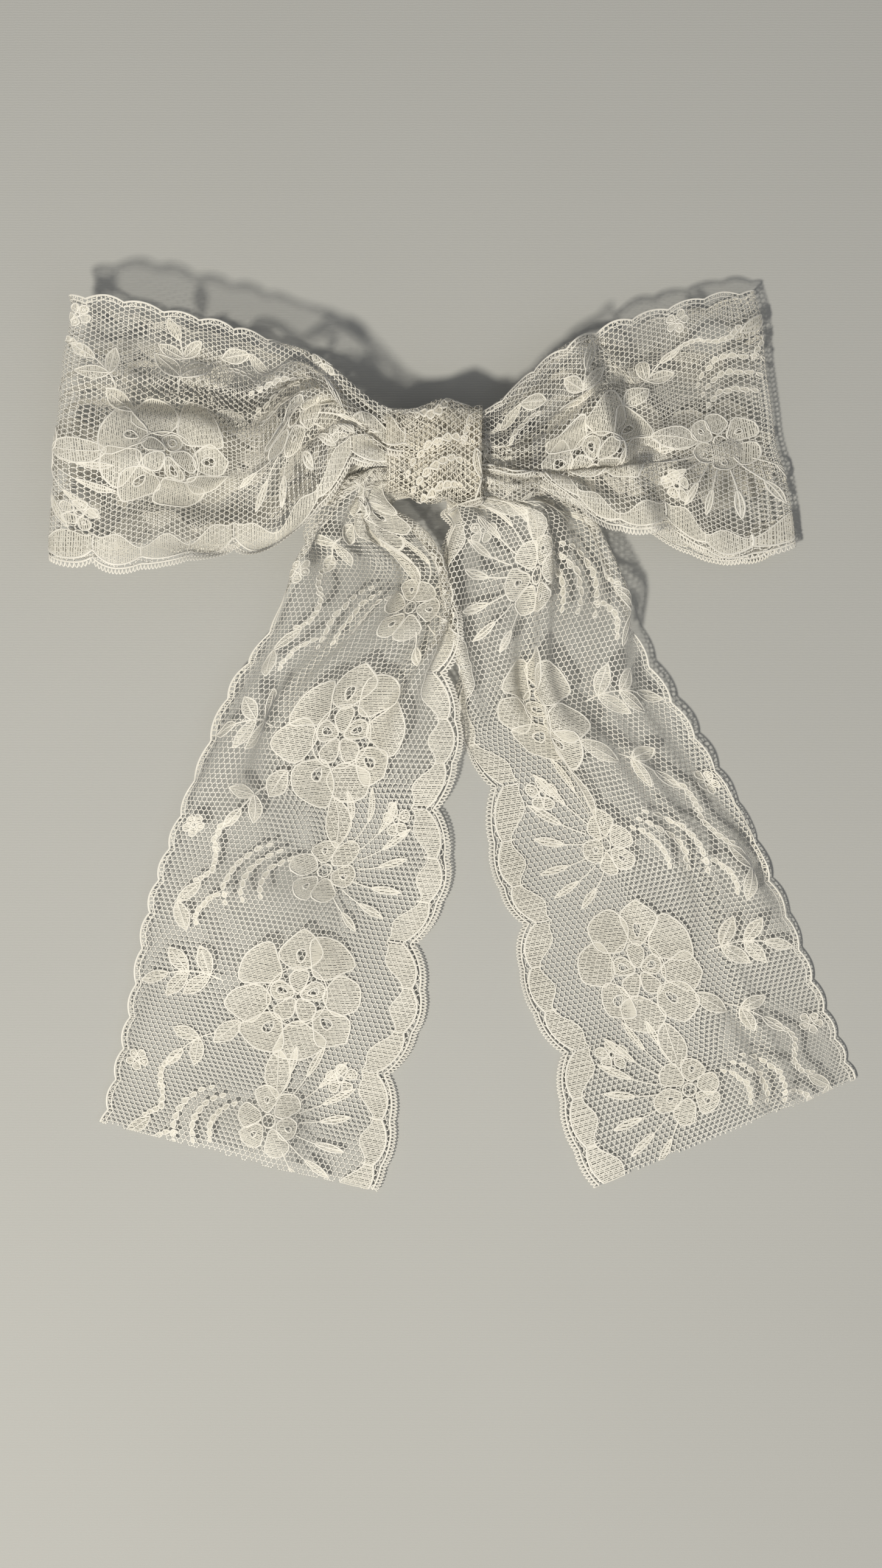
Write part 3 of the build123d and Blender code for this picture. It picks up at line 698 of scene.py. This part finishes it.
TAIL_LEFT = [
    (0, (-2, -3.0, 12.3), (-2, -8.8, 12.3), UP),
    (12, (-15, -5.5, 13.2), (-11, -11.8, 12.4), UP),
    (28, (-27, -18.0, 11.5), (-6.5, -19.0, 10.0), UP),
    (42, (-34, -29.0, 9.0), (0.5, -30.0, 8.0), UP),
    (57, (-41, -43.0, 6.5), (7.5, -43.0, 6.5), UP),
    (75, (-51.5, -58.0, 5.5), (7.5, -62.0, 5.0), UP),
    (95, (-60.5, -80.0, 4.8), (6.5, -82.0, 3.8), UP),
    (115, (-67.5, -98.0, 4.2), (4.5, -104.0, 2.6), UP),
    (135, (-73, -115.0, 3.6), (0.5, -124.0, 1.9), UP),
    (155, (-76.5, -134.0, 2.8), (-3.0, -144.0, 1.5), UP),
    (175, (-80, -151.0, 2.0), (-8.0, -164.0, 1.2), UP),
    (196, (-84.5, -168.0, 1.3), (-12.5, -186.0, 1.0), UP),
]
TAIL_RIGHT = [
    (0, (3, -3.0, 11.8), (3, -8.8, 11.8), UP),
    (10, (16, -5.5, 11.4), (8, -12.0, 11.5), UP),
    (25, (29.5, -11.5, 8.6), (0.5, -16.5, 8.5), UP),
    (38, (39.5, -19.0, 5.6), (0.0, -28.5, 5.5), UP),
    (52, (45.5, -34.0, 5.0), (3.0, -44.0, 3.5), UP),
    (70, (54, -52.0, 4.4), (5.5, -62.0, 2.0), UP),
    (90, (66, -71.0, 3.8), (8.0, -79.0, 1.3), UP),
    (110, (76, -89.0, 3.0), (13.5, -103.0, 1.2), UP),
    (130, (86, -109.0, 2.4), (18.0, -121.0, 1.0), UP),
    (150, (93.5, -127.0, 1.6), (23.5, -141.0, 1.0), UP),
    (170, (100, -143.0, 1.2), (29.5, -161.0, 0.8), UP),
    (192, (106, -157.0, 0.9), (36.5, -186.0, 0.7), UP),
]


def strip(name, stations, phase, seed, **shape):
    """Cuts and shapes one strip of the trim."""
    length = stations[-1][0] - stations[0][0]
    flat = trim(length, phase, seed)
    piece = lace_piece(name, [(flat, Draped(stations, WIDTH, seed, **shape))], IVORY)
    return piece, (WIDTH * MM, length * MM), flat.area()


loop_left, loop_left_flat, loop_left_area = strip(
    "lace_loop_left", LOOP_LEFT, 0.0, 11, stiff=((97.0, 12.0),), bound=((-2.0, 1.5), (196.0, 1.2)),
    creases=((0.29, 0.0008, 0.04, 8.0, 8.0, 95.0),))
loop_right, loop_right_flat, loop_right_area = strip(
    "lace_loop_right", LOOP_RIGHT, 28.0, 12, stiff=((88.0, 11.0),), bound=((-2.0, 1.5), (180.0, 1.2)),
    creases=((0.6, -0.0008, 0.05, 3.0, 8.0, 44.0),), buckles=((38.0, 18.0, 3.6, 6.0),))
tail_left, tail_left_flat, tail_left_area = strip(
    "lace_tail_left", TAIL_LEFT, 63.0, 13, bound=((0.0, 1.3),), floor=0.3)
tail_right, tail_right_flat, tail_right_area = strip(
    "lace_tail_right", TAIL_RIGHT, 4.0, 14, bound=((0.0, 1.3),), floor=0.3,
    creases=((0.3, 0.0, 0.03, 2.5, 60.0, 215.0),))

# ---- knot ----------------------------------------------------------------------------
KNOT_CUT = 33.0         # length of trim cut for the knot; the trim's width goes round the waist
KNOT_HEM = 3.6          # of each cut edge, folded under
KNOT_END = 1.66         # the bold edge ends a little below the middle of the front
KNOT_SAG = 0.9          # how far the wrap hangs below the middle of the waist
KNOT_GROWTH = 0.9       # how much further out each turn is than the last


def knot_stations(inside):
    """From under the front, down, round the back and over the top to the bold edge in front."""
    low, high = (np.array(corner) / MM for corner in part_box("knot_wrap"))
    middle, half = (low + high) / 2, (high - low) / 2
    spin = np.linspace(KNOT_END - 2.7 * np.pi, KNOT_END, 500)
    grow = KNOT_GROWTH * (spin - KNOT_END) / (2 * np.pi) - inside
    c, s = np.cos(spin), np.sin(spin)
    y = middle[1] - KNOT_SAG + (half[1] + grow) * np.sign(c) * np.abs(c) ** 0.55
    z = middle[2] + (half[2] + grow) * np.sign(s) * np.abs(s) ** 0.55
    travelled = np.concatenate([[0.0], np.cumsum(np.hypot(np.diff(y), np.diff(z)))])
    travelled += WIDTH - travelled[-1]
    stations = []
    for at in np.linspace(0.0, WIDTH, 33):
        here_y, here_z, angle = (np.interp(at, travelled, found) for found in (y, z, spin))
        waist = half[0] * (0.98 - 0.03 * math.sin(angle))
        ends = [(middle[0] + side * waist, here_y, here_z) for side in (-1, 1)]
        stations.append((at, *ends, (0.0, math.cos(angle), math.sin(angle))))
    return stations


knot_layers, knot_area = [], 0.0
for phase, inside, seed in ((2.0, 0.0, 15), (35.0, 0.9, 16)):
    layer = trim(KNOT_CUT, phase, seed)
    layer.points = [p[:, [1, 0, 2]] for p in layer.points]
    shape = Draped(knot_stations(inside), KNOT_CUT, seed, pleats=(2.0, 1.5, 1.0), ripple=0.4, hem=KNOT_HEM)
    knot_layers.append((layer, shape))
    knot_area += layer.area()
knot = lace_piece("lace_knot", knot_layers, KNOT_GLOW)

for piece, node, flat_size, area in (
    (loop_left, "loop_left", loop_left_flat, loop_left_area),
    (loop_right, "loop_right", loop_right_flat, loop_right_area),
):
    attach(piece, "bow")
    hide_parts(node)

for piece, node, flat_size, area in (
    (tail_left, "tail_left", tail_left_flat, tail_left_area),
    (tail_right, "tail_right", tail_right_flat, tail_right_area),
):
    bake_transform(piece)
    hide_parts(node)
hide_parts("tail_fold")

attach(knot, "bow")
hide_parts("knot_wrap", "loop_waist")

nickel = metal_material("nickel_plate", (0.72, 0.71, 0.69), 0.3)
spring_steel = metal_material("spring_steel", (0.62, 0.63, 0.66), 0.25)
sewing = thread_material("sewing_thread", (0.74, 0.71, 0.63), (0.85, 0.82, 0.75), 0.5, 0.2)
for node, material in (
    ("base_plate", nickel), ("catch_bracket", nickel), ("release_tab_front", nickel),
    ("release_tab_back", nickel), ("clasp_arm", nickel), ("hinge_pin", nickel),
    ("catch_rivets", nickel), ("tension_bar", spring_steel),
    ("gather_thread", sewing), ("wrap_stitches", sewing),
):
    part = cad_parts[node]
    part.data.materials.clear()
    part.data.materials.append(material)

# ---- stage ---------------------------------------------------------------------------
CAMERA_HEIGHT = 1.0
VIEW_ASIDE = 0.0014
VIEW_DOWN = -0.083
VIEW_TALL = 0.394           # what the picture covers on the surface, top to bottom
SENSOR = 36.0
FLOOR_SIZE = 20.0
FLOOR_Z = -0.0002           # just under the bow, so that the two don't share a surface

camera_data = bpy.data.cameras.new("camera")
camera_data.sensor_fit = "VERTICAL"
camera_data.sensor_height = SENSOR
camera_data.lens = SENSOR * CAMERA_HEIGHT / VIEW_TALL
camera_data.clip_start = 0.01
camera_data.clip_end = 10.0
camera = bpy.data.objects.new("camera", camera_data)
camera.location = (VIEW_ASIDE, VIEW_DOWN, CAMERA_HEIGHT)
bpy.context.scene.collection.objects.link(camera)
bpy.context.scene.camera = camera


def floor_material():
    """Pale grey-white backing cloth with a barely visible weave."""
    material, nodes, links, shader = nodes_of("backing_cloth")
    cloud = noise(nodes, links, 6.0)
    tint = ramp(nodes, links, cloud.outputs["Fac"], ((0.3, (0.48, 0.48, 0.455)), (0.7, (0.50, 0.50, 0.475))))
    links.new(tint.outputs["Color"], shader.inputs["Base Color"])
    place = nodes.new("ShaderNodeTexCoord")
    weave = nodes.new("ShaderNodeTexWave")
    weave.bands_direction = "Y"
    weave.inputs["Scale"].default_value = 500.0
    weave.inputs["Distortion"].default_value = 2.0
    links.new(place.outputs["Object"], weave.inputs["Vector"])
    bump = nodes.new("ShaderNodeBump")
    bump.inputs["Strength"].default_value = 0.12
    bump.inputs["Distance"].default_value = 0.0002
    links.new(weave.outputs["Fac"], bump.inputs["Height"])
    links.new(bump.outputs["Normal"], shader.inputs["Normal"])
    shader.inputs["Roughness"].default_value = 0.85
    return material


bpy.ops.mesh.primitive_plane_add(size=FLOOR_SIZE, location=(0.0, -0.08, FLOOR_Z))
floor = bpy.context.object
floor.name = "floor"
floor.data.materials.append(floor_material())


def area_light(name, place, target, size, power, colour):
    data = bpy.data.lights.new(name, "AREA")
    data.shape = "DISK"
    data.size = size
    data.energy = power
    data.color = colour
    light = bpy.data.objects.new(name, data)
    light.location = place
    light.rotation_euler = (Vector(target) - Vector(place)).to_track_quat("-Z", "Y").to_euler()
    bpy.context.scene.collection.objects.link(light)


area_light("key", (-0.33, -0.43, 0.91), (0.0, -0.08, 0.0), 0.11, 8.3, (1.0, 0.955, 0.86))
area_light("fill", (0.5, -0.5, 1.4), (0.0, -0.08, 0.0), 1.2, 1.9, (0.96, 0.98, 1.0))

world = bpy.data.worlds.new("world")
world.use_nodes = True
world.node_tree.nodes["Background"].inputs["Color"].default_value = (0.93, 0.95, 1.0, 1.0)
world.node_tree.nodes["Background"].inputs["Strength"].default_value = 0.22
bpy.context.scene.world = world
bpy.context.scene.view_settings.view_transform = "Standard"
